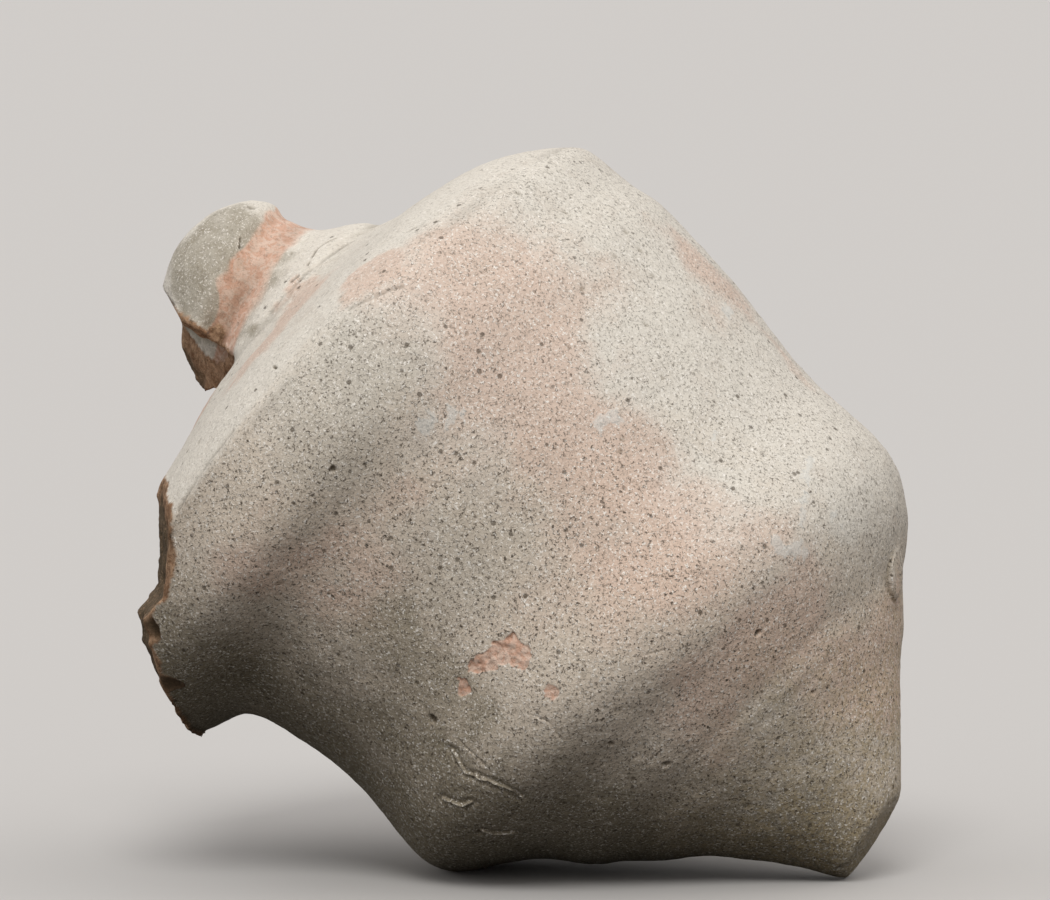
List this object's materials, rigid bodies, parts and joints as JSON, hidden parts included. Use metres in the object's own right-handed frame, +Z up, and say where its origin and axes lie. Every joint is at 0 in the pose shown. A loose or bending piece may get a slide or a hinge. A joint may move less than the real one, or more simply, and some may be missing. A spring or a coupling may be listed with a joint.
{
  "type": "sphero-conical vessel",
  "caption": "Small thick-walled sphero-conical vessel of unglazed clay, with a domed mouth, narrow pouring channel, pointed foot and a broken shoulder, lying on its side.",
  "frame": {"origin": "on the floor the vessel lies on, straight below the middle of its length and width", "axes": "+Z up from the floor, +X toward the pointed foot with the mouth at -X, and the middle plane through the mouth and the foot is Y = 0"},
  "size_m": [0.1149, 0.105, 0.1036],
  "materials": {
    "base_clay": "matte, unglazed, olive-grey with sandy wear",
    "belly_clay": "matte, unglazed, cream skin over buff-pink clay",
    "shoulder_clay": "matte, unglazed, pale cream skin",
    "neck_clay": "matte, unglazed, cream with orange-pink patches",
    "mouth_clay": "matte, unglazed, cream dome, orange-pink groove"
  },
  "bodies": {
    "root": {"base_cone": "base_clay", "belly_wall": "belly_clay", "shoulder_plate": "shoulder_clay", "neck_collar": "neck_clay", "mouth_dome": "mouth_clay"}
  },
  "joints": []
}
